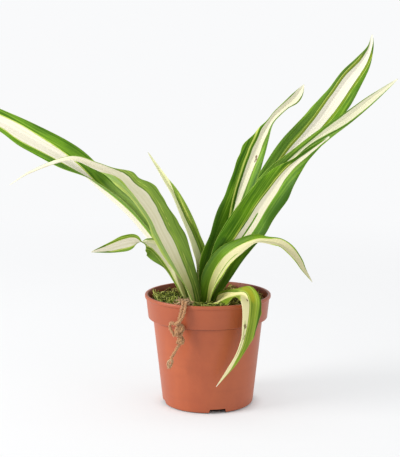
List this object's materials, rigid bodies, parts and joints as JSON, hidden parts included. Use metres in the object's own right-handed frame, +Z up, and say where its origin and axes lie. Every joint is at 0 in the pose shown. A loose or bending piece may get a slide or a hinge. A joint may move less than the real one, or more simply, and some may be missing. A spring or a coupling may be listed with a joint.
{
  "type": "potted spider plant",
  "caption": "Young spider plant with cream-striped arching leaves, in a terracotta-coloured plastic nursery pot with moss and a knotted jute twine over the rim.",
  "frame": {"origin": "middle of the pot's flat foot, on the surface that it stands on", "axes": "+Z up, -Y the front of the plant, +X its right side and the plant's widest extent"},
  "size_m": [0.3464, 0.1095, 0.2631],
  "materials": {
    "pot_plastic": "satin moulded plastic, faint flow marks",
    "soil": "crumbly dark peat",
    "crown": "smooth fleshy rootstock",
    "moss": "matted fine strands",
    "dry_moss": "matted dry strands",
    "leaf": "satin leaf with a cream stripe down the middle",
    "twine": "twisted fibrous jute"
  },
  "bodies": {
    "root": {"pot": "pot_plastic", "soil": "soil", "crown": "crown", "moss_green": "moss", "moss_dry": "dry_moss", "leaf_far_left": "leaf", "leaf_mid_left": "leaf", "leaf_low_left": "leaf", "leaf_inner_left": "leaf", "leaf_spike": "leaf", "leaf_upright": "leaf", "leaf_tall_right": "leaf", "leaf_broad_right": "leaf", "leaf_behind_right": "leaf", "leaf_arching_right": "leaf", "leaf_drooping": "leaf", "twine": "twine", "twine_second": "twine", "twine_tail": "twine", "twine_bight": "twine", "twine_knot_upper": "twine", "twine_knot_lower": "twine", "twine_end": "twine"}
  },
  "joints": []
}
